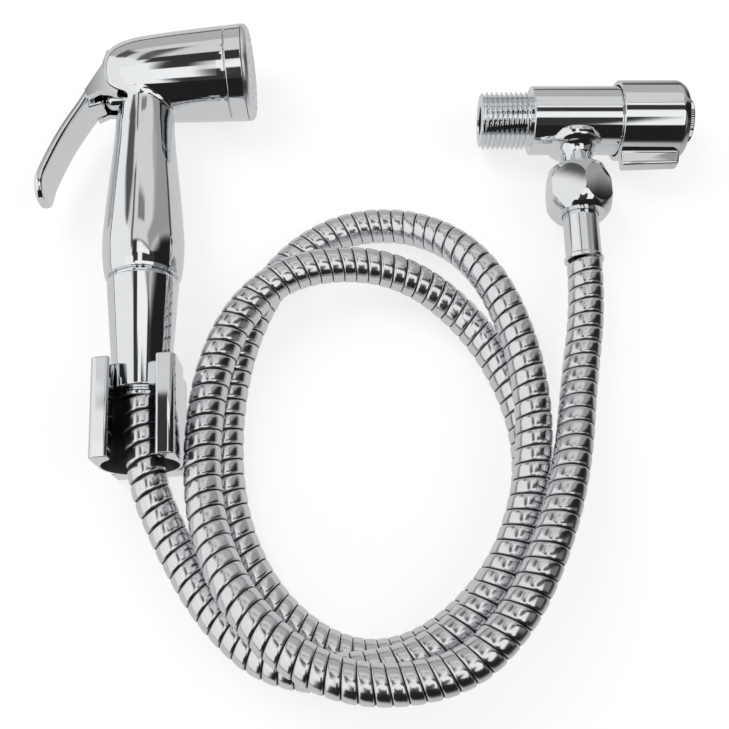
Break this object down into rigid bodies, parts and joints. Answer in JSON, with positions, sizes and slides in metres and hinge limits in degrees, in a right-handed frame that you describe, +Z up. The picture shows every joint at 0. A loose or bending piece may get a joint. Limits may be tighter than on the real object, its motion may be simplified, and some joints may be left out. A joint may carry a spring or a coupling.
{
  "type": "hand sprayer with hose and stop valve",
  "caption": "Squeeze-trigger hand sprayer on a coiled ribbed metal hose, with its slotted wall holder and a quarter-turn stop valve.",
  "frame": {"origin": "on the table under the middle of the set without its hose", "axes": "+Z up from the table, +Y towards the spray head, +X towards the stop valve"},
  "size_m": [0.2393, 0.2441, 0.0375],
  "materials": {
    "chrome_plate": "polished chrome plate",
    "spray_face": "satin chrome plate",
    "seal_rubber": "black moulded rubber",
    "bright_steel": "bright stainless steel",
    "brass": "machined brass",
    "ceramic": "lapped white ceramic",
    "hose_steel": "bright stainless steel strip, double locked"
  },
  "bodies": {
    "root": {"handset_body": "chrome_plate", "spray_collar": "chrome_plate", "spray_plate": "spray_face", "spray_gasket": "seal_rubber", "plunger_spring": "bright_steel", "plunger_seal": "seal_rubber", "trigger_pin": "bright_steel", "inlet_nipple": "chrome_plate", "cone_washer": "seal_rubber", "cone_nut": "chrome_plate", "handset_end_fitting": "chrome_plate", "valve_body": "chrome_plate", "valve_headwork": "brass", "fixed_disc": "ceramic", "headwork_oring": "seal_rubber", "hose_nut": "chrome_plate", "hose_nut_washer": "seal_rubber", "valve_ferrule": "chrome_plate", "hose_valve_run": "hose_steel", "hose_turns": "hose_steel", "hose_handset_run": "hose_steel"},
    "trigger": {"trigger_lever": "chrome_plate"},
    "plunger": {"valve_plunger": "bright_steel", "valve_seat_seal": "seal_rubber"},
    "knob": {"stop_knob": "chrome_plate", "knob_screw": "bright_steel", "knob_index": "chrome_plate", "valve_spindle": "brass", "turning_disc": "ceramic"},
    "holder": {"wall_holder": "chrome_plate"}
  },
  "joints": [
    {"name": "trigger_squeeze", "type": "hinge", "parent": "root", "child": "trigger", "pos_m": [-0.09404, 0.06791, 0.0185], "axis": [0, 0, 1], "range_deg": [0, 14], "stiffness_Nm_per_rad": 0.6, "springref_deg": -8.59},
    {"name": "plunger_slide", "type": "slide", "parent": "root", "child": "plunger", "axis": [0.9979, 0.0645, 0], "range_m": [0, 0.0032], "deforming": ["plunger_spring"]},
    {"name": "knob_turn", "type": "hinge", "parent": "root", "child": "knob", "pos_m": [0.076, 0.0489, 0.0148], "axis": [1, 0, 0], "range_deg": [-90, 0]},
    {"name": "holder_slide", "type": "slide", "parent": "root", "child": "holder", "axis": [0.0645, -0.9979, 0], "range_m": [0, 0.012]}
  ],
  "couplings": [
    {"joint": "plunger_slide", "follows": "trigger_squeeze", "m_per_rad": 0.0125}
  ]
}
